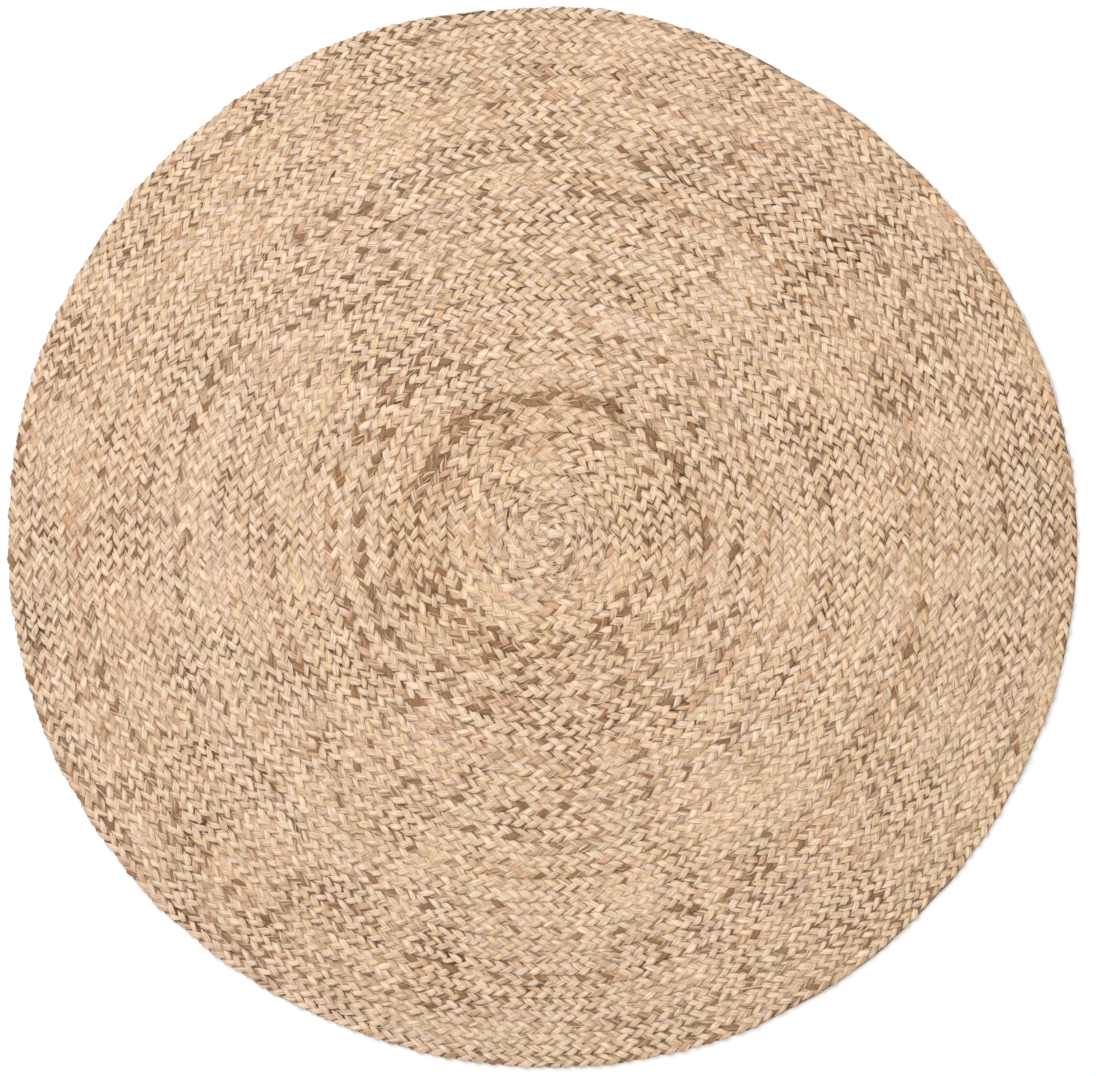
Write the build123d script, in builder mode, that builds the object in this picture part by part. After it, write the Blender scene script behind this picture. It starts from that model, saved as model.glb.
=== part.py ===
"""Round area rug: two flat plaits of jute coiled side by side and laced edge to edge.

Plait A and plait B start together at the centre, heading opposite ways, and coil outwards
clockwise as seen from above, so their rows alternate across the rug.  Each half turn is a
half circle from one crossing of the seam line to the next one out on the other side.
Every full turn is a piece of its own, each plait ends in a tapered tail at the rim, and two
lacing twines run in the grooves of the underside.  Z is up, the underside lies at Z = 0 and
the origin is the centre of the rug's outline.
"""

import os
from math import cos, radians, sin, sqrt

from build123d import *

# Driving dimensions, in millimetres and degrees
HALF_TURNS_A = 41  # half turns of plait A before its tail
HALF_TURNS_B = HALF_TURNS_A + 1  # plait B goes half a turn further, so both tails end together
CENTRE_PITCH = 16.1  # from one row to the next at the centre of the rug
RIM_PITCH = 12.7  # from one row to the next at the rim
THICKNESS = 9.0  # of a plait, from its underside to its top
ROW_GAP = 0.3  # between one row's side and the next row's

FINISH_BEARING = 112.0  # where the seam line meets the rim, anticlockwise from +X
TAIL_A_FULL = 27.0  # angle that tail A goes on at its full section
TAIL_A_TAPER = 21.0  # angle over which tail A then narrows
TAIL_B_TAPER = 15.0  # angle over which tail B narrows
TIP_WIDTH = 5.0  # of each tail at its end
TIP_THICKNESS = 6.5
TAPER_SECTIONS = 7  # sections that shape each taper
EDGE_SHARE = 0.45  # a taper's edge radius is at most this share of its width and thickness

LACING_DIAMETER = 1.6
LACING_CLEARANCE = 0.15  # round the lacing, to the plaits and to the surface under the rug

STEP_FOLDER = "parts"


def groove_edge_radius():
    """Radius of the plaits' long edges that leaves a groove where the lacing just fits."""
    room = 4 * (LACING_DIAMETER / 2 + LACING_CLEARANCE) - ROW_GAP
    return (room + sqrt(room**2 - ROW_GAP**2)) / 2


EDGE_RADIUS = groove_edge_radius()


def crossing(half_turn):
    """Distance from the centre at which a plait's middle crosses the seam line."""
    narrowing = (CENTRE_PITCH - RIM_PITCH) / (2 * HALF_TURNS_B)
    return CENTRE_PITCH * half_turn - narrowing * half_turn**2


def seam_crossing(half_turn):
    """Distance from the centre at which the seam outside that half turn crosses the line."""
    return (crossing(half_turn) + crossing(half_turn + 1)) / 2


def row_width(half_turn):
    """Width of a plait over the full turn that this half turn belongs to."""
    first = half_turn - half_turn % 2
    return (crossing(first + 2) - crossing(first)) / 2 - ROW_GAP


def outer_radius(half_turn):
    """Radius of a half turn's outer edge about its own centre."""
    return seam_crossing(half_turn) + row_width(half_turn) / 2


# The coil's centre stands off the origin, so that the outline's box is centred there.
COIL_CENTRE = Vector((outer_radius(HALF_TURNS_B - 1) - outer_radius(HALF_TURNS_B - 2)) / 2, 0, 0)
SEAM_LINE = Vector(cos(radians(FINISH_BEARING)), sin(radians(FINISH_BEARING)), 0)
UPRIGHT = Plane(origin=COIL_CENTRE, x_dir=SEAM_LINE, z_dir=SEAM_LINE.cross(Vector(0, 0, 1)))


def side(plait, half_turn):
    """Which end of the seam line a half turn starts from: 1 at the finish, -1 opposite."""
    starts_opposite = (half_turn % 2 == 0) == (plait == "a")
    return -1 if starts_opposite else 1


def turning_axis(plait, half_turn, distance):
    """Vertical axis of a half turn, pointing down so that the coil turns clockwise."""
    start = side(plait, half_turn) * distance(half_turn)
    end = -side(plait, half_turn) * distance(half_turn + 1)
    return Axis(UPRIGHT.from_local_coords(Vector((start + end) / 2, 0, 0)), (0, 0, -1))


def sweep_half_turn(plait, half_turn, angle=180.0):
    """Adds one row of plait to the part that is being built, from its start round an angle."""
    start = side(plait, half_turn) * crossing(half_turn)
    with BuildSketch(UPRIGHT) as section:
        with Locations((start, THICKNESS / 2)):
            RectangleRounded(row_width(half_turn), THICKNESS, EDGE_RADIUS)
    axis = turning_axis(plait, half_turn, crossing)
    revolve(section.sketch, axis=axis, revolution_arc=angle)


def tail_section(plait, half_turn, angle, width, thickness):
    """A tail's section at an angle past the seam line, against the row inside it."""
    middle = turning_axis(plait, half_turn, crossing).position
    bearing = radians(FINISH_BEARING - angle)
    outwards = Vector(cos(bearing), sin(bearing), 0)
    inner_radius = seam_crossing(half_turn) - row_width(half_turn) / 2
    place = Plane(
        origin=middle + outwards * (inner_radius + width / 2) + Vector(0, 0, thickness / 2),
        x_dir=outwards,
        z_dir=outwards.cross(Vector(0, 0, 1)),
    )
    with BuildSketch(place) as section:
        RectangleRounded(width, thickness, min(EDGE_RADIUS, EDGE_SHARE * min(width, thickness)))
    return section.sketch


def taper(plait, half_turn, start_angle, angle):
    """Adds a tail's tapered end to the part that is being built."""
    sections = []
    for step in range(TAPER_SECTIONS):
        share = step / (TAPER_SECTIONS - 1)
        width = row_width(half_turn) + (TIP_WIDTH - row_width(half_turn)) * share
        thickness = THICKNESS + (TIP_THICKNESS - THICKNESS) * share
        at = start_angle + angle * share
        sections.append(tail_section(plait, half_turn, at, width, thickness))
    loft(sections)


def laced_share(half_turn):
    """Share of a taper over which its edges still leave the whole groove for the lacing."""
    least = EDGE_RADIUS / EDGE_SHARE
    by_thickness = (THICKNESS - least) / (THICKNESS - TIP_THICKNESS)
    by_width = (row_width(half_turn) - least) / (row_width(half_turn) - TIP_WIDTH)
    return min(max(min(by_thickness, by_width), 0.0), 1.0)


def save(part, name):
    """Labels a finished piece and writes its STEP file."""
    part.label = name
    export_step(part, os.path.join(STEP_FOLDER, name + ".step"))


def make_turns(plait, half_turns):
    """Makes each full turn of a plait, and the last half turn where there is one."""
    for first in range(0, half_turns, 2):
        with BuildPart() as turn:
            for half_turn in range(first, min(first + 2, half_turns)):
                sweep_half_turn(plait, half_turn)
        save(turn.part, f"plait_{plait}_turn_{first // 2 + 1:02d}")


def make_tail_a():
    """Plait A's tail: on at full width under the end of tail B, then narrowing to its tip."""
    with BuildPart() as tail:
        sweep_half_turn("a", HALF_TURNS_A, TAIL_A_FULL)
        taper("a", HALF_TURNS_A, TAIL_A_FULL, TAIL_A_TAPER)
    save(tail.part, "plait_a_tail")


def make_tail_b():
    """Plait B's tail: narrows from the seam line, lying against tail A."""
    with BuildPart() as tail:
        taper("b", HALF_TURNS_B, 0.0, TAIL_B_TAPER)
    save(tail.part, "plait_b_tail")


def make_lacing(plait, half_turns, last_angle):
    """Twine that laces a plait's outer side to the next row, in the groove underneath."""
    angles = [180.0] * half_turns + ([last_angle] if last_angle > 0 else [])
    with BuildPart() as lacing:
        for half_turn, angle in enumerate(angles):
            start = side(plait, half_turn) * seam_crossing(half_turn)
            with BuildSketch(UPRIGHT) as section:
                with Locations((start, LACING_CLEARANCE + LACING_DIAMETER / 2)):
                    Circle(LACING_DIAMETER / 2)
            axis = turning_axis(plait, half_turn, seam_crossing)
            revolve(section.sketch, axis=axis, revolution_arc=angle)
    save(lacing.part, f"lacing_twine_{plait}")


os.makedirs(STEP_FOLDER, exist_ok=True)
make_turns("a", HALF_TURNS_A)
make_turns("b", HALF_TURNS_B)
make_tail_a()
make_tail_b()
make_lacing("a", HALF_TURNS_A, TAIL_B_TAPER * laced_share(HALF_TURNS_B))
make_lacing("b", HALF_TURNS_B - 2, TAIL_A_FULL + TAIL_A_TAPER * laced_share(HALF_TURNS_A))
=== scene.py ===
"""Round plaited jute rug: strands, lacing, materials, floor, light and camera.

The two plaits follow the same coil as the design: half circles from one crossing of the seam
line to the next, clockwise and outwards.  Three strands run along each plait.  A strand goes
out over its neighbours to one edge, folds, comes back underneath and goes out to the other.
"""

import math

import bmesh
import bpy
import numpy as np
from bpy.props import FloatProperty, FloatVectorProperty, IntProperty, PointerProperty
from mathutils import Matrix, Vector


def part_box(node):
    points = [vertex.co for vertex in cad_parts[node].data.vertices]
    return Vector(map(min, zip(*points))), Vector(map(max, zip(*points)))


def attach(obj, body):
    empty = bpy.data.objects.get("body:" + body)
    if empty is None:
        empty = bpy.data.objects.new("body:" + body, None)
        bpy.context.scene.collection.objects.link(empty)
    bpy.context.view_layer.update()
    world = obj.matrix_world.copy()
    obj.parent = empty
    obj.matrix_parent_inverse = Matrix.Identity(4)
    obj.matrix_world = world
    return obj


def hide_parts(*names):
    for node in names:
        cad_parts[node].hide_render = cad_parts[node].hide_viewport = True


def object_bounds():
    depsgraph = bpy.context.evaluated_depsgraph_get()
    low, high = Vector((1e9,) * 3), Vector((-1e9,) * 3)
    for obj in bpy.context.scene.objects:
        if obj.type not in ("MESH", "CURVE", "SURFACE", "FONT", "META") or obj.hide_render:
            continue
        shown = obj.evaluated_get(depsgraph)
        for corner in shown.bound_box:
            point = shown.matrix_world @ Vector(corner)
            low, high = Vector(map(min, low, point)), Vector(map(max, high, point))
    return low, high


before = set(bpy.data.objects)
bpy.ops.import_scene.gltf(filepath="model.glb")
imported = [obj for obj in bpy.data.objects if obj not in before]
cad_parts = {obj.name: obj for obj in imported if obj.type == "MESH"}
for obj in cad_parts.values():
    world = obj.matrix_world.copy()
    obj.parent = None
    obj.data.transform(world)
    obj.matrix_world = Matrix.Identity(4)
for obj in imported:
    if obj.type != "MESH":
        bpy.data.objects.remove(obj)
CAD_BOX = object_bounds()

bl_info = {
    "name": "Plaited jute rug",
    "version": (1, 0, 0),
    "blender": (4, 5, 0),
    "location": "View3D > Sidebar > Rug",
    "description": "Makes a round rug of two coiled jute plaits, its lacing and a plain stage",
    "category": "Object",
}

BODY = "root"
PLAITS = ("a", "b")
STRANDS = 3
RING = 8  # points round a strand
STEPS = 16  # rings in one full cycle of the plait
STRAND_GIRTH = 0.0215  # once round a strand
STRANDS_APART = 1000.0  # cycles from one strand's place in the strand map to the next one's
TURN_NODES = {p: sorted(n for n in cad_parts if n.startswith(f"plait_{p}_turn")) for p in PLAITS}
HALF_TURNS = {"b": 2 * len(TURN_NODES["b"]), "a": 2 * len(TURN_NODES["b"]) - 1}  # before the tails
MIDDLING_PITCH = 0.0144  # of a row on which a strand has the width in its settings
ROW_GAP = 0.0003  # between one row's side and the next row's
TIP_WIDTH = 0.005  # of each tail at its end
ROUTE_TOLERANCE = 0.001
LACING_SIDES = 5
STITCH_SIDES = (-1.0, 0.0, 1.0, 0.45, -0.55)  # a stitch's points across the seam, times the reach
STITCH_LIFTS = (0.1, -0.06, 0.1, 1.0, 1.0)  # and their heights, times the lift
PLY_LENGTH = 0.0048  # in which the twine's plies go once round
TWO_PI = 2 * math.pi

# How uneven the plaits are: each amount, and the length of plait over which it changes
SAMPLING = 0.002
SLOW_STRETCH, SLOW_STRETCH_REACH = 0.05, 0.35
QUICK_STRETCH, QUICK_STRETCH_REACH = 0.08, 0.025
SWAY, SWAY_REACH = 0.0004, 0.09
THICKENING, THICKENING_REACH = 0.06, 0.12
SHIFT_LIMIT = 2  # of each random shift, in standard deviations
ROUGH_START = 0.5  # length of plait at the centre that is roughest and has the most loose fibres
ROUGHER = 0.6  # how much rougher it is there
FOLD_CROWDING = 0.35  # how closely a strand's rings crowd at its folds
FOLD_SHARPNESS = 3.2

FIBRE_POINTS = 5
FIBRE_LENGTHS = (0.012, 0.045)
FIBRE_SIZES = (0.05, 0.07, 0.10, 0.15)  # as shares of a strand's
FIBRE_SIZE_CHANCES = (0.35, 0.35, 0.2, 0.1)
START_FIBRES = 9  # times as many loose fibres at the centre as elsewhere
CORE_SPACING, CLOSE_CORE_SPACING = 0.012, 0.003  # between the core's rings; close where it curls most
CLOSE_CORE_END = 1.0  # length of plait from the centre with the close spacing
CORE_FLATNESS = 0.16  # of its tube's thickness

LATTICE = 32  # random moves along each side of the block that wander repeats
FINE_CELL, FINE_MOVE, FINE_SEED = 0.008, 0.0005, 1
BROAD_MOVES = {"cell": 0.040, "amount": 0.0007, "seed": 2}  # shared, so that the lacing stays in its groove
CENTRE_MOVE, CENTRE_REACH = 1.2, 0.06  # how much more the centre is moved, and how far out
PRESSING = 1.25

FLOOR_HALF_WIDTH = 6.0
FLOOR_GAP = 0.0004  # from the floor up to the underside
KEY_PLACE = (-0.5, 0.5, 2.7)
KEY_WIDTH = 2.4
CAMERA_OFFSET = (0.0070, 0.0005)  # of the camera from the middle of the rug


def union_box(*nodes):
    """Lowest and highest corners of several nodes together."""
    boxes = [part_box(n) for n in nodes]
    low = [min(b[0][i] for b in boxes) for i in range(3)]
    high = [max(b[1][i] for b in boxes) for i in range(3)]
    return low, high


FIRST_TURNS = union_box(TURN_NODES["a"][0], TURN_NODES["b"][0])
COIL_CENTRE = tuple((FIRST_TURNS[0][i] + FIRST_TURNS[1][i]) / 2 for i in range(2))
THICKNESS = FIRST_TURNS[1][2]
RIM = max(abs(c) for corner in CAD_BOX for c in tuple(corner)[:2])


class RugPlaitSettings(bpy.types.PropertyGroup):
    """Sizes of the plaits."""

    centre_pitch: FloatProperty(
        name="Centre pitch", description="From row to row at the centre", default=0.0161, unit="LENGTH"
    )
    rim_pitch: FloatProperty(
        name="Rim pitch", description="From row to row at the rim", default=0.0127, unit="LENGTH"
    )
    finish_bearing: FloatProperty(
        name="Finish bearing",
        description="Where the seam line meets the rim, anticlockwise from +X",
        default=math.radians(112),
        subtype="ANGLE",
    )
    tail_a: FloatProperty(
        name="Tail A",
        description="Angle that tail A goes on for",
        default=math.radians(48),
        subtype="ANGLE",
    )
    tail_a_taper: FloatProperty(
        name="Taper A",
        description="Angle over which tail A narrows",
        default=math.radians(21),
        subtype="ANGLE",
    )
    tail_b_taper: FloatProperty(
        name="Taper B",
        description="Angle over which tail B narrows",
        default=math.radians(15),
        subtype="ANGLE",
    )
    cycle: FloatProperty(
        name="Cycle",
        description="Length of plait in which a strand goes out to both edges",
        default=0.0478,
        unit="LENGTH",
    )
    strand_width: FloatProperty(
        name="Strand width",
        description="Width of a strand on a row of middling width",
        default=0.0088,
        unit="LENGTH",
    )
    strand_thickness: FloatProperty(
        name="Strand thickness",
        description="Thickness of a strand pressed flat",
        default=0.0050,
        unit="LENGTH",
    )
    swing: FloatProperty(
        name="Swing",
        description="How far a strand's middle goes to each side, as a share of the pitch",
        default=0.373,
    )
    unevenness: FloatProperty(
        name="Unevenness",
        description="How much the strands differ in width, height and lie",
        default=1.0,
        min=0,
        max=2,
    )
    fibres: FloatProperty(
        name="Loose fibres", description="Fibres for each metre of plait", default=36.0, min=0
    )
    seed: IntProperty(name="Seed", description="Seed of the unevenness", default=11)


class RugLacingSettings(bpy.types.PropertyGroup):
    """Sizes of the lacing on the underside."""

    stitch: FloatProperty(
        name="Stitch", description="Length of one stitch", default=0.014, unit="LENGTH"
    )
    reach: FloatProperty(
        name="Reach",
        description="How far a stitch goes into the row on each side",
        default=0.0014,
        unit="LENGTH",
    )
    lift: FloatProperty(
        name="Lift",
        description="How far up into the plaits a stitch goes back",
        default=0.0016,
        unit="LENGTH",
    )
    end_a: FloatProperty(
        name="End A",
        description="How far lacing A goes into its last half turn",
        default=math.radians(7.5),
        subtype="ANGLE",
    )
    end_b: FloatProperty(
        name="End B",
        description="How far lacing B goes into its last half turn",
        default=math.radians(37.5),
        subtype="ANGLE",
    )


class RugStageSettings(bpy.types.PropertyGroup):
    """Floor, light and camera."""

    floor_colour: FloatVectorProperty(
        name="Floor",
        description="Colour of the floor",
        default=(0.92, 0.92, 0.92),
        size=3,
        subtype="COLOR",
    )
    key_power: FloatProperty(
        name="Key light", description="Power of the large soft light", default=62.0, unit="POWER"
    )
    sky: FloatProperty(name="Sky", description="Strength of the even light all round", default=0.6)
    camera_height: FloatProperty(
        name="Camera height", description="Camera above the rug", default=3.4, unit="LENGTH"
    )
    view_width: FloatProperty(
        name="View width",
        description="Width of floor that the picture takes in",
        default=1.2305,
        unit="LENGTH",
    )


class Coil:
    """A line that coils outwards with a plait: the plait's middle, or the seam outside it."""

    def __init__(self, plait, settings, half_turns, last_angle, seam=False):
        self.settings = settings
        distance = self.seam_crossing if seam else self.crossing
        line = Vector((math.cos(settings.finish_bearing), math.sin(settings.finish_bearing)))
        centres, radii, starts, lengths = [], [], [], []
        for half_turn in range(half_turns + 1):
            from_opposite = (half_turn % 2 == 0) == (plait == "a")
            side = -1 if from_opposite else 1
            start, end = side * distance(half_turn), -side * distance(half_turn + 1)
            centres.append(Vector(COIL_CENTRE) + line * (start + end) / 2)
            radii.append(abs(start - end) / 2)
            starts.append(settings.finish_bearing + (math.pi if from_opposite else 0.0))
            lengths.append(radii[-1] * (math.pi if half_turn < half_turns else last_angle))
        self.centres, self.radii, self.starts = np.array(centres), np.array(radii), np.array(starts)
        self.ends = np.cumsum(lengths)
        self.begins = self.ends - np.array(lengths)
        self.length = float(self.ends[-1])
        self.half_turns = half_turns

    def crossing(self, half_turn):
        """Distance from the centre at which the plait's middle crosses the seam line."""
        s = self.settings
        narrowing = (s.centre_pitch - s.rim_pitch) / (2 * HALF_TURNS["b"])
        return s.centre_pitch * half_turn - narrowing * half_turn**2

    def seam_crossing(self, half_turn):
        """Distance from the centre at which the seam outside that half turn crosses the line."""
        return (self.crossing(half_turn) + self.crossing(half_turn + 1)) / 2

    def pitch(self, along):
        """Width that the row takes up, at distances along the plait."""
        half_turn = np.interp(along, self.ends, np.arange(len(self.ends)) + 0.5)
        s = self.settings
        return s.centre_pitch - (s.centre_pitch - s.rim_pitch) * half_turn / HALF_TURNS["b"]

    def place(self, along):
        """Points on the line and the unit vectors pointing outwards there."""
        k = np.clip(np.searchsorted(self.ends, along), 0, len(self.ends) - 1)
        bearing = self.starts[k] - (along - self.begins[k]) / self.radii[k]
        outwards = np.stack([np.cos(bearing), np.sin(bearing)], axis=1)
        return self.centres[k] + outwards * self.radii[k][:, None], outwards


def check_route(node, coil, start, end, inwards, outwards):
    """Raises an error if a stretch of coil isn't where its CAD solid is."""
    along = np.linspace(start, end, 720)
    middle, away = coil.place(along)
    edges = np.concatenate([middle - away * inwards, middle + away * outwards(along)[:, None]])
    low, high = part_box(node)
    off = max(abs(edges.min(0) - low[:2]).max(), abs(edges.max(0) - high[:2]).max())
    if off > ROUTE_TOLERANCE:
        raise ValueError(f"{node} is {off * 1000:.2f} mm away from its CAD solid")


def drift(rng, along, reach, length):
    """Smooth random values about 0, which change over a given length."""
    knots = np.arange(-2, length / reach + 3)
    values = rng.normal(0, 1, len(knots))
    x = along / reach
    low = np.floor(x).astype(int)
    t = x - low
    t = t * t * (3 - 2 * t)
    return values[low + 2] * (1 - t) + values[low + 3] * t


class Plait:
    """The three strands of one plait, as rings at steps of the plait's own cycle."""

    def __init__(self, plait, settings):
        last = settings.tail_b_taper if plait == "b" else settings.tail_a
        self.coil = Coil(plait, settings, HALF_TURNS[plait], last)
        self.settings = settings
        self.number = PLAITS.index(plait)
        self.rng = np.random.default_rng(settings.seed + self.number)
        length = self.coil.length
        fine = np.linspace(0, length, int(length / SAMPLING))
        slow = drift(self.rng, fine, SLOW_STRETCH_REACH, length)
        quick = drift(self.rng, fine, QUICK_STRETCH_REACH, length)
        stretch = 1 + settings.unevenness * (SLOW_STRETCH * slow + QUICK_STRETCH * quick)
        cycles = np.concatenate([[0], np.cumsum(np.diff(fine) / (settings.cycle * stretch[1:]))])
        self.sway = settings.unevenness * SWAY * drift(self.rng, fine, SWAY_REACH, length)
        self.fine, self.cycles = fine, cycles
        self.strands = [self.make_strand(number) for number in range(STRANDS)]

    def make_strand(self, number):
        """Rings of one strand: distances along, cycles, points, sizes and tilts."""
        s = self.settings
        offset = number / STRANDS
        even = np.arange(math.floor(self.cycles[-1] + offset) * STEPS + 1) / STEPS
        cycle = even + FOLD_CROWDING / (4 * math.pi) * np.sin(4 * math.pi * even)
        cycle = np.concatenate([[offset], cycle[cycle > offset + 0.01], [self.cycles[-1] + offset]])
        along = np.interp(cycle - offset, self.cycles, self.fine)
        t = cycle * TWO_PI
        petals = int(cycle[-1] * 2) + 3
        shifts = self.rng.normal(0, 1, (6, petals))
        shifts = np.clip(shifts, -SHIFT_LIMIT, SHIFT_LIMIT) * s.unevenness
        petal_at = np.arange(petals) * 0.5 + 0.125
        rough = 1 + ROUGHER * np.exp(-((along / ROUGH_START) ** 2))
        width, side, lift, roll, reach, haste = (np.interp(cycle, petal_at, v) * rough for v in shifts)
        thickness = drift(self.rng, along, THICKENING_REACH, self.coil.length) * s.unevenness
        t = t + 0.16 * haste
        middle, outwards = self.coil.place(along)
        pitch = self.coil.pitch(along)
        swing = s.swing * pitch * (1 + 0.05 * reach)
        across = swing * (np.sin(t) - 0.05 * np.sin(3 * t))
        across += np.interp(along, self.fine, self.sway) + 0.0004 * side
        height = THICKNESS / 2 + 0.0021 * np.tanh(1.5 * np.sin(2 * t)) / math.tanh(1.5) + 0.0003 * lift
        uneven = 1 + 0.09 * width + THICKENING * thickness
        slimmer = 0.88 - 0.08 * np.cos(4 * t) - 0.15 * np.sin(t) ** 6  # where it crosses and folds
        size = pitch / MIDDLING_PITCH * uneven * slimmer
        folded = np.tanh(FOLD_SHARPNESS * np.cos(t)) / math.tanh(FOLD_SHARPNESS)
        tilt = -math.pi / 2 * (1 - folded) + 0.16 * roll
        tail = self.tail_share(along)
        across = across * (1 - 0.72 * tail) - tail * (0.36 * pitch + 0.0012)
        size = size * (1 - 0.55 * tail)
        height = height - 0.0014 * tail
        points = np.concatenate([middle + outwards * across[:, None], height[:, None]], axis=1)
        return along, cycle, points, size, tilt

    def fibres(self, start, end):
        """Loose fibres that lie over a stretch of plait, as points, sizes and tilts."""
        s, runs = self.settings, []
        rng = np.random.default_rng([s.seed, self.number, int(start * 1000)])
        at_centre = max(0, min(end, ROUGH_START) - start)
        crowd = rng.poisson((end - start) * s.fibres) + rng.poisson(START_FIBRES * s.fibres * at_centre)
        for _ in range(crowd):
            length = rng.uniform(*FIBRE_LENGTHS)
            anywhere = start > ROUGH_START or rng.random() < 0.2
            first = rng.uniform(start, end if anywhere else min(end, ROUGH_START))
            share = np.linspace(0, 1, FIBRE_POINTS)
            along = np.clip(first + length * share, 0, self.coil.length)
            middle, outwards = self.coil.place(along)
            pitch = self.coil.pitch(along)
            across = pitch * rng.uniform(-0.5, 0.5) + length * (share - 0.5) * rng.normal(0, 0.35)
            across += length * rng.normal(0, 0.12) * np.sin(math.pi * share)
            in_last_row = first > self.coil.begins[-2]
            limit = pitch * np.where(in_last_row, 0.40 - 0.75 * self.tail_share(along), 0.7)
            across = np.minimum(across, limit)
            height = THICKNESS * (0.87 + 0.12 * np.sin(math.pi * share)) + rng.normal(0, 0.0001)
            points = np.concatenate([middle + outwards * across[:, None], height[:, None]], axis=1)
            finer = 0.5 + 0.5 * np.sin(math.pi * (0.1 + 0.8 * share))  # towards both ends
            sizes = rng.choice(FIBRE_SIZES, p=FIBRE_SIZE_CHANCES) * finer
            cycle = share * length / s.cycle + rng.integers(6, 900)
            runs.append((cycle, points, sizes, np.zeros(FIBRE_POINTS)))
        return runs

    def core(self, start, end):
        """A flat sheet in the middle of a stretch, which closes the gaps between the strands and shows in
        them with the painted shade of the deep.
        """
        spacing = CLOSE_CORE_SPACING if end < CLOSE_CORE_END else CORE_SPACING
        along = np.linspace(start, end, max(4, int((end - start) / spacing)))
        middle, outwards = self.coil.place(along)
        pitch, tail = self.coil.pitch(along), self.tail_share(along)
        rim = along > self.coil.begins[-2]
        across = -0.06 * pitch * rim - 0.38 * pitch * tail
        points = np.column_stack([middle + outwards * across[:, None], np.full(len(along), THICKNESS / 2)])
        size = pitch * np.where(rim, 0.92 - 0.78 * tail, 1.12) / self.settings.strand_width
        return [(along / self.settings.cycle, points, size, np.zeros(len(along)))]

    def stretch(self, number, start, end):
        """The rings of a strand that lie from one distance along the plait to another."""
        along = self.strands[number][0]
        first, last = (int(np.argmin(abs(along - mark))) for mark in (start, end))
        return [values[first : last + 1] for values in self.strands[number][1:]]

    def check(self, node, start, end):
        """Checks a stretch against the CAD solid that it stands for."""
        row = float(self.coil.pitch(np.array([(start + end) / 2]))[0]) - ROW_GAP

        def outer_edge(along):
            return row / 2 - (row - TIP_WIDTH) * self.tail_share(along)

        check_route(node, self.coil, start, end, row / 2, outer_edge)

    def tail_share(self, along):
        """How far the plait's tail has narrowed: 0 up to its taper, 1 at its tip."""
        s = self.settings
        taper = (s.tail_b_taper if self.number else s.tail_a_taper) * self.coil.radii[-1]
        return np.clip((along - (self.coil.length - taper)) / taper, 0, 1)


def wander(points, cell, amount, seed):
    """Moves points by smooth random amounts that change over the size of a cell."""
    lattice = np.random.default_rng(seed).normal(0, 1, (LATTICE, LATTICE, LATTICE, 3))
    place = points / cell
    low = np.floor(place).astype(int)
    share = place - low
    share = share * share * (3 - 2 * share)
    moved = np.zeros_like(points)
    for corner in range(8):
        pick = [(corner >> axis) & 1 for axis in range(3)]
        weight = np.prod([share[:, i] if pick[i] else 1 - share[:, i] for i in range(3)], axis=0)
        x, y, z = ((low[:, i] + pick[i]) % LATTICE for i in range(3))
        moved += lattice[x, y, z] * weight[:, None]
    points += moved * np.broadcast_to(amount, len(points))[:, None] * (1, 1, 0.6)


def shape_coil(points):
    """Gives the coil its hand-made outline: gentle lobes that fade towards the centre."""
    x, y = points[:, 0] - COIL_CENTRE[0], points[:, 1] - COIL_CENTRE[1]
    radius, bearing = np.hypot(x, y), np.arctan2(y, x)
    lobes = (
        0.0016 * np.cos(2 * bearing - math.radians(30))
        + 0.0014 * np.cos(3 * bearing + math.radians(120))
        + 0.0010 * np.cos(4 * bearing)
        + 0.0010 * np.cos(5 * bearing - math.radians(15))
        - 0.0030
    )
    factor = 1 + lobes * (radius / RIM) ** 2 / np.maximum(radius, 1e-4)
    points[:, 0] = COIL_CENTRE[0] + x * factor
    points[:, 1] = COIL_CENTRE[1] + y * factor


def press_flat(points, low, high):
    """Presses the plait between the floor and its top, more softly the further inside."""
    middle, half = (low + high) / 2, (high - low) / 2
    share = (points[:, 2] - middle) / half
    pressed = middle + half * np.tanh(share * PRESSING) / math.tanh(PRESSING)
    points[:, 2] = np.clip(pressed, low, high)


def ring_profile(name, width, thickness, sides=RING):
    """A closed profile for a bevel: a flattened oval with blunt sides, or a plain small one."""
    curve = bpy.data.curves.new(name, "CURVE")
    curve.dimensions = "2D"
    spline = curve.splines.new("POLY")
    spline.points.add(sides - 1)
    for i, point in enumerate(spline.points):
        angle = -math.pi / 2 - TWO_PI * i / sides
        blunt = 1.12 if i % 2 and sides == RING else 1.0
        point.co = (blunt * width / 2 * math.cos(angle), blunt * thickness / 2 * math.sin(angle), 0, 1)
    spline.use_cyclic_u = True
    return bpy.data.objects.new(name, curve)


def tubes(name, profile, runs):
    """A mesh of tubes, one along each run of points, sizes and tilts."""
    curve = bpy.data.curves.new(name, "CURVE")
    curve.dimensions = "3D"
    curve.twist_mode = "Z_UP"
    curve.bevel_mode = "OBJECT"
    curve.bevel_object = profile
    curve.use_fill_caps = True
    for points, sizes, tilts in runs:
        spline = curve.splines.new("POLY")
        spline.points.add(len(points) - 1)
        spline.points.foreach_set("co", np.column_stack([points, np.ones(len(points))]).ravel())
        spline.points.foreach_set("radius", sizes)
        spline.points.foreach_set("tilt", tilts)
        spline.use_smooth = True
    obj = bpy.data.objects.new(name, curve)
    bpy.context.collection.objects.link(obj)
    graph = bpy.context.evaluated_depsgraph_get()
    mesh = bpy.data.meshes.new_from_object(obj.evaluated_get(graph))
    mesh.name = name
    bpy.data.objects.remove(obj)
    bpy.data.curves.remove(curve)
    return mesh


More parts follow.
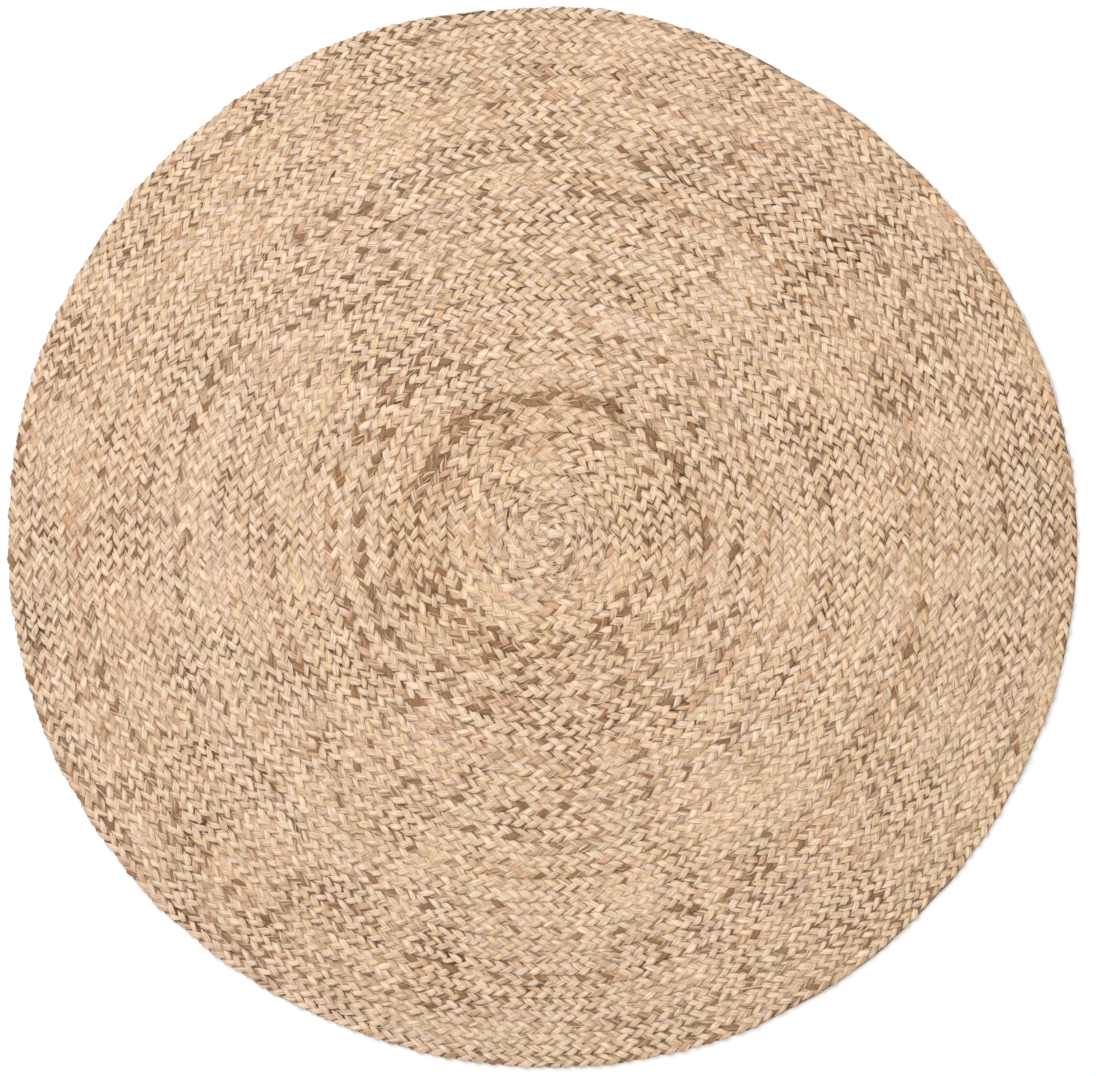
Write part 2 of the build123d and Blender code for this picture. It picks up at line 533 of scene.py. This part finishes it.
def corner_runs(mesh, lengths, sides=RING):
    """For each face corner: its run, its ring along that run and its share of the way round."""
    count = len(mesh.loops)
    corners = np.empty(count, dtype=np.int32)
    mesh.loops.foreach_get("vertex_index", corners)
    uv = np.empty(count * 2)
    mesh.uv_layers[0].data.foreach_get("uv", uv)
    caps = 2 * sides * len(lengths)
    firsts = caps + sides * np.concatenate([[0], np.cumsum(lengths)[:-1]])
    body = corners >= caps
    run = np.where(body, np.searchsorted(firsts, corners, side="right") - 1, 0)
    ring = np.where(body, (corners - firsts[run]) // sides, 0)
    cap = np.where(body, 0, corners // sides)
    run = np.where(body, run, len(lengths) - 1 - cap // 2)
    ring = np.where(body, ring, np.where(cap % 2 == 0, np.array(lengths)[run] - 1, 0))
    around = np.where(body, uv[1::2], uv[0::2])
    return run, ring, around, body


def write_uv(mesh, name, u, v):
    """Writes a UV map from two arrays over the face corners."""
    layer = mesh.uv_layers.get(name) or mesh.uv_layers.new(name=name)
    layer.data.foreach_set("uv", np.column_stack([u, v]).ravel())


def strip_map(mesh, lengths, run, ring, around, body, spacing, girth):
    """Lays the tubes out in rows of even scale inside the unit square."""
    firsts = np.concatenate([[0], np.cumsum(np.array(lengths) - 1)[:-1]])
    faces = len(mesh.polygons)
    starts = np.empty(faces, dtype=np.int32)
    totals = np.empty(faces, dtype=np.int32)
    mesh.polygons.foreach_get("loop_start", starts)
    mesh.polygons.foreach_get("loop_total", totals)
    low = np.minimum.reduceat(ring, starts)
    segment = firsts[run[starts]] + np.minimum(low, np.array(lengths)[run[starts]] - 2)
    rows = max(1, math.ceil(math.sqrt((firsts[-1] + lengths[-1]) * spacing / girth)))
    per_row = math.ceil((firsts[-1] + lengths[-1]) / rows)
    segment = np.repeat(segment, totals)
    step = ring - np.repeat(low, totals)
    u = (segment % per_row + np.where(body, step, 0.5 + 0.3 * np.cos(TWO_PI * around))) / per_row
    across = np.where(body, around, 0.5 + 0.3 * np.sin(TWO_PI * around))
    v = (segment // per_row + 0.06 + 0.88 * across) / rows
    write_uv(mesh, "OFBake", u, v)


def close_up(mesh):
    """Joins the end caps to their tubes and turns every face outwards."""
    work = bmesh.new()
    work.from_mesh(mesh)
    bmesh.ops.remove_doubles(work, verts=work.verts, dist=1e-7)
    bmesh.ops.recalc_face_normals(work, faces=work.faces)
    work.to_mesh(mesh)
    work.free()


def add_piece(name, mesh, material, nodes):
    """Puts a finished mesh in the scene as a piece that stands for CAD nodes."""
    mesh.materials.clear()
    mesh.materials.append(material)
    piece = bpy.data.objects.new(name, mesh)
    bpy.context.collection.objects.link(piece)
    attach(piece, BODY)
    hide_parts(*nodes)
    return piece


def vertex_parts(lengths):
    """Where a plait's mesh has its fibres' caps, its core's caps, its core and its fibres.

    The mesh starts with the end caps of its tubes, from the last tube back to the first, and
    goes on with the tubes from the first to the last: the strands, the core and the fibres.
    """
    caps = 2 * RING
    fibre_caps_end = caps * (len(lengths) - STRANDS - 1)
    core_start = caps * len(lengths) + RING * sum(lengths[:STRANDS])
    core_end = core_start + RING * lengths[STRANDS]
    return (
        slice(0, fibre_caps_end),
        slice(fibre_caps_end, fibre_caps_end + caps),
        slice(core_start, core_end),
        slice(core_end, None),
    )


def plait_piece(plait, profile, name, node, start, end, material):
    """Makes one stretch of plait, from one distance along it to another."""
    plait.check(node, start, end)
    strands = [plait.stretch(number, start, end) for number in range(STRANDS)]
    strands += plait.core(start, end) + plait.fibres(start, end)
    mesh = tubes(name, profile, [(points, size, tilt) for _, points, size, tilt in strands])
    lengths = [len(cycle) for cycle, *_ in strands]
    points = np.empty(len(mesh.vertices) * 3)
    mesh.vertices.foreach_get("co", points)
    points = points.reshape(-1, 3)
    fibre_caps, core_caps, core, fibres = vertex_parts(lengths)
    for part in (core, core_caps):
        points[part, 2] = THICKNESS / 2 + CORE_FLATNESS * (points[part, 2] - THICKNESS / 2)
    distance = np.hypot(points[:, 0] - COIL_CENTRE[0], points[:, 1] - COIL_CENTRE[1])
    rougher = 1 + CENTRE_MOVE * np.exp(-((distance / CENTRE_REACH) ** 2))
    wander(points, FINE_CELL, FINE_MOVE * rougher, FINE_SEED)
    wander(points, **BROAD_MOVES)
    loose = [(part, points[part, 2].copy()) for part in (fibre_caps, fibres)]
    press_flat(points, 0.0, THICKNESS)
    for part, heights in loose:
        points[part, 2] = heights
    shape_coil(points)
    mesh.vertices.foreach_set("co", points.ravel())
    run, ring, around, body = corner_runs(mesh, lengths)
    firsts = np.concatenate([[0], np.cumsum(lengths)[:-1]])
    cycle = np.concatenate([cycle for cycle, *_ in strands])[firsts[run] + ring]
    strand = np.minimum(run, STRANDS) + (STRANDS + 1) * plait.number
    spacing = plait.settings.cycle / STEPS
    strip_map(mesh, lengths, run, ring, around, body, spacing, STRAND_GIRTH)
    write_uv(mesh, "strand", cycle + STRANDS_APART * (strand + 1), around)
    mesh.uv_layers.remove(mesh.uv_layers[0])
    close_up(mesh)
    return add_piece(name, mesh, material, [node])


def lacing_piece(letter, profile, settings, plait_settings, material):
    """Makes a lacing: twine that crosses a seam below, goes up into the plait and comes back."""
    node = f"lacing_twine_{letter}"
    low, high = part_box(node)
    routes = {"a": (HALF_TURNS["a"], settings.end_a), "b": (HALF_TURNS["b"] - 2, settings.end_b)}
    coil = Coil(letter, plait_settings, *routes[letter], seam=True)
    radius = (high[2] - low[2]) / 2
    check_route(node, coil, 0.0, coil.length, radius, lambda along: np.full(len(along), radius))
    stitches = int(coil.length / settings.stitch)
    along = np.linspace(0, coil.length, stitches * len(STITCH_SIDES) + 1)
    middle, outwards = coil.place(along)
    across = np.append(np.tile(STITCH_SIDES, stitches), STITCH_SIDES[0]) * settings.reach
    lifts = np.append(np.tile(STITCH_LIFTS, stitches), STITCH_LIFTS[0])
    height = low[2] + radius + lifts * settings.lift
    points = np.concatenate([middle + outwards * across[:, None], height[:, None]], axis=1)
    wander(points, **BROAD_MOVES)
    points[:, 2] = height
    shape_coil(points)
    mesh = tubes(node, profile, [(points, np.ones(len(points)), np.zeros(len(points)))])
    lengths = [len(points)]
    run, ring, around, body = corner_runs(mesh, lengths, LACING_SIDES)
    spacing = settings.stitch / len(STITCH_SIDES)
    strip_map(mesh, lengths, run, ring, around, body, spacing, TWO_PI * radius)
    write_uv(mesh, "strand", along[ring] / PLY_LENGTH, around)
    mesh.uv_layers.remove(mesh.uv_layers[0])
    close_up(mesh)
    return add_piece(f"jute_{node}", mesh, material, [node])


def node_tree(material):
    """A fresh shader tree: its nodes, its links and its Principled shader."""
    material.use_nodes = True
    tree = material.node_tree
    tree.nodes.clear()
    shader = tree.nodes.new("ShaderNodeBsdfPrincipled")
    output = tree.nodes.new("ShaderNodeOutputMaterial")
    tree.links.new(shader.outputs["BSDF"], output.inputs["Surface"])
    return tree, shader


class Shading:
    """A shader tree being made: adds nodes and links or sets what they are given."""

    def __init__(self, tree):
        self.tree = tree

    def node(self, kind, **values):
        made = self.tree.nodes.new(kind)
        for key, value in values.items():
            setattr(made, key, value)
        return made

    def feed(self, socket, value):
        """Links a socket to a socket, or sets its value."""
        if isinstance(value, bpy.types.NodeSocket):
            self.tree.links.new(value, socket)
        else:
            socket.default_value = value

    def maths(self, operation, a, b=0.0):
        made = self.node("ShaderNodeMath", operation=operation)
        self.feed(made.inputs[0], a)
        self.feed(made.inputs[1], b)
        return made.outputs[0]

    def ramp(self, value, *stops):
        """Colours, or greys where a stop is one number, from a value."""
        made = self.node("ShaderNodeValToRGB")
        while len(made.color_ramp.elements) < len(stops):
            made.color_ramp.elements.new(0.5)
        for element, (at, colour) in zip(made.color_ramp.elements, stops):
            element.position = at
            element.color = (*(colour if isinstance(colour, tuple) else (colour,) * 3), 1)
        self.feed(made.inputs[0], value)
        return made.outputs[0]

    def blend(self, kind, factor, a, b):
        made = self.node("ShaderNodeMix", data_type="RGBA", blend_type=kind)
        for number, value in ((0, factor), (6, a), (7, b)):
            self.feed(made.inputs[number], (*value, 1) if isinstance(value, tuple) else value)
        return made.outputs[2]

    def noise(self, place, scale=1.0, detail=2.0):
        made = self.node("ShaderNodeTexNoise", noise_dimensions="3D")
        made.inputs["Scale"].default_value = scale
        made.inputs["Detail"].default_value = detail
        self.feed(made.inputs["Vector"], place)
        return made.outputs[0]

    def streaks(self, along, around, stretch, across, seed, detail=2.0):
        """Noise that is long along a strand and closes round it."""
        turn = self.maths("MULTIPLY", around, TWO_PI)
        reach = self.maths("DIVIDE", across, TWO_PI)
        place = self.node("ShaderNodeCombineXYZ")
        self.feed(place.inputs[0], self.maths("MULTIPLY", along, stretch))
        self.feed(place.inputs[1], self.maths("MULTIPLY", self.maths("SINE", turn), reach))
        second = self.maths("MULTIPLY", self.maths("COSINE", turn), reach)
        self.feed(place.inputs[2], self.maths("ADD", second, seed))
        return self.noise(place.outputs[0], detail=detail)

    def strand_place(self):
        """Distance along the strand and share of the way round it, from the strand's own map."""
        split = self.node("ShaderNodeSeparateXYZ")
        self.feed(split.inputs[0], self.node("ShaderNodeUVMap", uv_map="strand").outputs[0])
        return split.outputs[0], split.outputs[1]

    def fibre_lines(self, along, around, stretch, across):
        """The shared fibre lines: their height and their shade."""
        made = self.node("ShaderNodeGroup", node_tree=fibre_group())
        values = {"Along": along, "Around": around, "Stretch": stretch, "Across": across}
        for name, value in values.items():
            self.feed(made.inputs[name], value)
        return made.outputs["Height"], made.outputs["Shade"]


def fibre_group():
    """Node group of the fine fibre lines that both the strands and the twine show."""
    group = bpy.data.node_groups.get("fibre_lines")
    if group:
        return group
    group = bpy.data.node_groups.new("fibre_lines", "ShaderNodeTree")
    for name, value in (("Along", 0.0), ("Around", 0.0), ("Stretch", 2.2), ("Across", 22.0)):
        socket = group.interface.new_socket(name, in_out="INPUT", socket_type="NodeSocketFloat")
        socket.default_value = value
    group.interface.new_socket("Height", in_out="OUTPUT", socket_type="NodeSocketFloat")
    group.interface.new_socket("Shade", in_out="OUTPUT", socket_type="NodeSocketColor")
    shading = Shading(group)
    given = shading.node("NodeGroupInput").outputs
    along, around, stretch, across = (given[n] for n in ("Along", "Around", "Stretch", "Across"))
    lines = shading.streaks(along, around, stretch, across, 5.0, detail=3.0)
    shade = shading.ramp(lines, (0.30, (0.62, 0.60, 0.58)), (0.52, 1.0), (0.75, 1.12))
    result = shading.node("NodeGroupOutput").inputs
    shading.feed(result["Height"], lines)
    shading.feed(result["Shade"], shade)
    return group


def jute_material():
    """Undyed jute strand: pale tan, with long brown, ochre and olive lengths and fine fibres."""
    material = bpy.data.materials.new("jute_strand")
    tree, shader = node_tree(material)
    shading = Shading(tree)
    maths, ramp, blend = shading.maths, shading.ramp, shading.blend
    along, around = shading.strand_place()
    place = shading.node("ShaderNodeTexCoord").outputs["Object"]

    def streaks(stretch, across, seed, detail=2.0):
        return shading.streaks(along, around, stretch, across, seed, detail)

    def total(*values):
        result = values[0]
        for value in values[1:]:
            result = maths("ADD", result, value)
        return result

    def chance(number):
        """A random value for each whole number."""
        made = shading.node("ShaderNodeTexWhiteNoise", noise_dimensions="1D")
        shading.feed(made.inputs["W"], number)
        return made.outputs[0]

    # Tone of each stretch of strand that shows, and slow changes along the whole strand
    place_in_petals = maths("ADD", maths("MULTIPLY", along, 2.0), 1 / 6)
    petal = maths("FLOOR", place_in_petals)
    turning = ramp(maths("FRACT", place_in_petals), (0.72, 0.0), (1.0, 1.0))
    petal_tone = total(
        maths("MULTIPLY", chance(petal), maths("SUBTRACT", 1.0, turning)),
        maths("MULTIPLY", chance(maths("ADD", petal, 1.0)), turning),
    )
    tone = total(
        maths("MULTIPLY", streaks(1.1, 1.6, 3.0, detail=3.0), 0.8),
        maths("MULTIPLY", petal_tone, 0.09),
        maths("MULTIPLY", streaks(0.04, 0.2, 71.0), 0.35),
    )
    colour = ramp(
        maths("SUBTRACT", tone, 0.02),
        (0.34, (0.50, 0.33, 0.20)),
        (0.46, (0.70, 0.505, 0.335)),
        (0.60, (0.81, 0.61, 0.44)),
        (0.82, (0.88, 0.70, 0.525)),
    )
    greener_to_redder = ramp(
        shading.noise(place, scale=28, detail=1),
        (0.36, (0.97, 0.985, 0.96)),
        (0.50, 1.0),
        (0.64, (1.0, 0.97, 0.96)),
    )
    colour = blend("MULTIPLY", 1.0, colour, greener_to_redder)
    cooler_to_yellower = ramp(
        streaks(0.03, 0.1, 91.0),
        (0.38, (0.985, 0.985, 1.06)),
        (0.50, 1.0),
        (0.62, (0.99, 0.965, 0.86)),
    )
    colour = blend("MULTIPLY", 1.0, colour, cooler_to_yellower)

    # A warmer band of rows some way out from the centre
    flat = shading.node("ShaderNodeVectorMath", operation="MULTIPLY")
    flat.inputs[1].default_value = (1, 1, 0)
    shading.feed(flat.inputs[0], place)
    centre = shading.node("ShaderNodeVectorMath", operation="DISTANCE")
    centre.inputs[1].default_value = (*COIL_CENTRE, 0)
    shading.feed(centre.inputs[0], flat.outputs[0])
    band = ramp(centre.outputs["Value"], (0.10, 0.0), (0.125, 1.0), (0.155, 1.0), (0.19, 0.5), (0.26, 0.0))
    colour = blend("MULTIPLY", maths("MULTIPLY", band, 0.4), colour, (0.98, 0.92, 0.84))

    # Long coloured lengths of single strands, broken up from stretch to stretch
    more = maths("MULTIPLY", band, 0.04)
    broken = maths("MULTIPLY", petal_tone, 0.08)
    for slow, seed, low, high, strength, tint in (
        (0.045, 37.0, 0.64, 0.72, 0.35, (0.60, 0.475, 0.27)),
        (0.035, 23.0, 0.65, 0.71, 0.60, (0.58, 0.30, 0.16)),
        (0.045, 11.0, 0.66, 0.71, 0.92, (0.28, 0.135, 0.055)),
    ):
        length = maths("MULTIPLY", streaks(slow, 0.5, seed), 0.65)
        part = maths("MULTIPLY", streaks(0.6, 3.0, seed + 100), 0.45)
        mask = ramp(total(length, part, broken, more), (low, 0.0), (high, 1.0))
        colour = blend("MIX", maths("MULTIPLY", mask, strength), colour, tint)

    # Painted shade deep between the strands, darkest halfway up the plait, with fine fibre lines and specks
    # of bark
    height = shading.node("ShaderNodeSeparateXYZ")
    shading.feed(height.inputs[0], place)
    level = maths("ABSOLUTE", maths("SUBTRACT", maths("DIVIDE", height.outputs[2], THICKNESS / 2), 1.0))
    colour = blend("MULTIPLY", 1.0, colour, ramp(level, (0.0, (0.30, 0.22, 0.15)), (0.36, 1.0)))
    lines, shade = shading.fibre_lines(along, around, 2.2, 22.0)
    colour = blend("MULTIPLY", 1.0, colour, shade)
    specks = ramp(streaks(9.0, 16.0, 51.0), (0.32, (0.74, 0.70, 0.66)), (0.50, 1.0))
    colour = blend("MULTIPLY", 1.0, colour, specks)
    shading.feed(shader.inputs["Base Color"], colour)
    shader.inputs["Roughness"].default_value = 0.85
    shader.inputs["Specular IOR Level"].default_value = 0.25
    shader.inputs["Sheen Weight"].default_value = 0.15
    bump = shading.node("ShaderNodeBump")
    bump.inputs["Strength"].default_value = 0.5
    bump.inputs["Distance"].default_value = 0.0006
    shading.feed(bump.inputs["Height"], lines)
    shading.feed(shader.inputs["Normal"], bump.outputs[0])
    return material


def twine_material():
    """Lacing twine: two plies of darker jute, laid round each other."""
    material = bpy.data.materials.new("jute_twine")
    tree, shader = node_tree(material)
    shading = Shading(tree)
    maths, ramp, blend = shading.maths, shading.ramp, shading.blend
    along, around = shading.strand_place()
    lay = maths("ADD", along, maths("MULTIPLY", around, 2.0))
    ply = maths("ABSOLUTE", maths("SINE", maths("MULTIPLY", lay, math.pi)))
    lines, shade = shading.fibre_lines(along, around, 1.5, 9.0)
    tone = ramp(
        shading.streaks(along, around, 0.15, 1.0, 7.0),
        (0.36, (0.40, 0.26, 0.14)),
        (0.62, (0.68, 0.50, 0.32)),
    )
    colour = blend("MULTIPLY", 1.0, tone, shade)
    # Painted shade in the grooves between the plies
    colour = blend("MULTIPLY", 1.0, colour, ramp(ply, (0.05, (0.42, 0.35, 0.28)), (0.5, 1.0)))
    shading.feed(shader.inputs["Base Color"], colour)
    shader.inputs["Roughness"].default_value = 0.9
    shader.inputs["Specular IOR Level"].default_value = 0.25
    bump = shading.node("ShaderNodeBump")
    bump.inputs["Strength"].default_value = 0.6
    bump.inputs["Distance"].default_value = 0.0005
    shading.feed(bump.inputs["Height"], maths("ADD", ply, maths("MULTIPLY", lines, 0.4)))
    shading.feed(shader.inputs["Normal"], bump.outputs[0])
    return material


class RUG_OT_plaits(bpy.types.Operator):
    """Make both plaits, a piece for each turn and tail"""

    bl_idname = "rug.plaits"
    bl_label = "Make the plaits"

    def execute(self, context):
        settings = context.scene.rug_plait
        material = jute_material()
        profile = ring_profile("strand_profile", settings.strand_width, settings.strand_thickness)
        context.collection.objects.link(profile)
        for letter in PLAITS:
            plait = Plait(letter, settings)
            coil = plait.coil
            marks = [0.0] + [float(coil.ends[k]) for k in range(1, coil.half_turns, 2)]
            if marks[-1] < coil.begins[-1] - 1e-6:
                marks.append(float(coil.begins[-1]))
            marks.append(coil.length)
            nodes = TURN_NODES[letter] + [f"plait_{letter}_tail"]
            for number, node in enumerate(nodes):
                name = node.replace("plait_", "jute_plait_")
                plait_piece(plait, profile, name, node, marks[number], marks[number + 1], material)
        bpy.data.curves.remove(profile.data)
        return {"FINISHED"}


class RUG_OT_lacing(bpy.types.Operator):
    """Make the two lacings on the underside"""

    bl_idname = "rug.lacing"
    bl_label = "Make the lacing"

    def execute(self, context):
        settings = context.scene.rug_lacing
        low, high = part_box("lacing_twine_a")
        size = high[2] - low[2]
        profile = ring_profile("twine_profile", size, size, LACING_SIDES)
        context.collection.objects.link(profile)
        material = twine_material()
        for letter in PLAITS:
            lacing_piece(letter, profile, settings, context.scene.rug_plait, material)
        bpy.data.curves.remove(profile.data)
        return {"FINISHED"}


class RUG_OT_stage(bpy.types.Operator):
    """Make the floor, the light and the camera"""

    bl_idname = "rug.stage"
    bl_label = "Make the stage"

    def execute(self, context):
        settings = context.scene.rug_stage
        work = bmesh.new()
        lower = Matrix.Translation((0, 0, -FLOOR_GAP))
        bmesh.ops.create_grid(work, x_segments=1, y_segments=1, size=FLOOR_HALF_WIDTH, matrix=lower)
        mesh = bpy.data.meshes.new("floor")
        work.to_mesh(mesh)
        work.free()
        material = bpy.data.materials.new("floor")
        _, shader = node_tree(material)
        shader.inputs["Base Color"].default_value = (*settings.floor_colour, 1)
        shader.inputs["Roughness"].default_value = 0.9
        mesh.materials.append(material)
        floor = bpy.data.objects.new("floor", mesh)
        context.collection.objects.link(floor)
        key = bpy.data.lights.new("key", "AREA")
        key.shape = "DISK"
        key.size = KEY_WIDTH
        key.energy = settings.key_power
        lamp = bpy.data.objects.new("key", key)
        lamp.location = KEY_PLACE
        lamp.rotation_euler = (-lamp.location).to_track_quat("-Z", "Y").to_euler()
        context.collection.objects.link(lamp)
        world = bpy.data.worlds.new("sky")
        world.use_nodes = True
        background = world.node_tree.nodes["Background"]
        background.inputs["Color"].default_value = (1, 1, 1, 1)
        background.inputs["Strength"].default_value = settings.sky
        context.scene.world = world
        camera = bpy.data.cameras.new("camera")
        camera.sensor_width = 36.0
        camera.lens = camera.sensor_width * settings.camera_height / settings.view_width
        seen = bpy.data.objects.new("camera", camera)
        seen.location = (*CAMERA_OFFSET, THICKNESS + settings.camera_height)
        context.collection.objects.link(seen)
        context.scene.camera = seen
        context.scene.view_settings.view_transform = "Standard"
        return {"FINISHED"}


class RUG_PT_panel(bpy.types.Panel):
    """Sidebar panel with the sizes, the colours and the steps"""

    bl_idname = "RUG_PT_panel"
    bl_label = "Rug"
    bl_space_type = "VIEW_3D"
    bl_region_type = "UI"
    bl_category = "Rug"

    def draw(self, context):
        scene = context.scene
        for group, step in (
            (scene.rug_plait, "rug.plaits"),
            (scene.rug_lacing, "rug.lacing"),
            (scene.rug_stage, "rug.stage"),
        ):
            box = self.layout.box()
            for name in group.bl_rna.properties.keys():
                if name not in ("rna_type", "name"):
                    box.prop(group, name)
            box.operator(step)


CLASSES = (
    RugPlaitSettings,
    RugLacingSettings,
    RugStageSettings,
    RUG_OT_plaits,
    RUG_OT_lacing,
    RUG_OT_stage,
    RUG_PT_panel,
)


def register():
    for cls in CLASSES:
        bpy.utils.register_class(cls)
    bpy.types.Scene.rug_plait = PointerProperty(type=RugPlaitSettings)
    bpy.types.Scene.rug_lacing = PointerProperty(type=RugLacingSettings)
    bpy.types.Scene.rug_stage = PointerProperty(type=RugStageSettings)


def unregister():
    del bpy.types.Scene.rug_stage
    del bpy.types.Scene.rug_lacing
    del bpy.types.Scene.rug_plait
    for cls in reversed(CLASSES):
        bpy.utils.unregister_class(cls)


def main():
    register()
    bpy.ops.rug.plaits()
    bpy.ops.rug.lacing()
    bpy.ops.rug.stage()


if __name__ == "__main__":
    main()
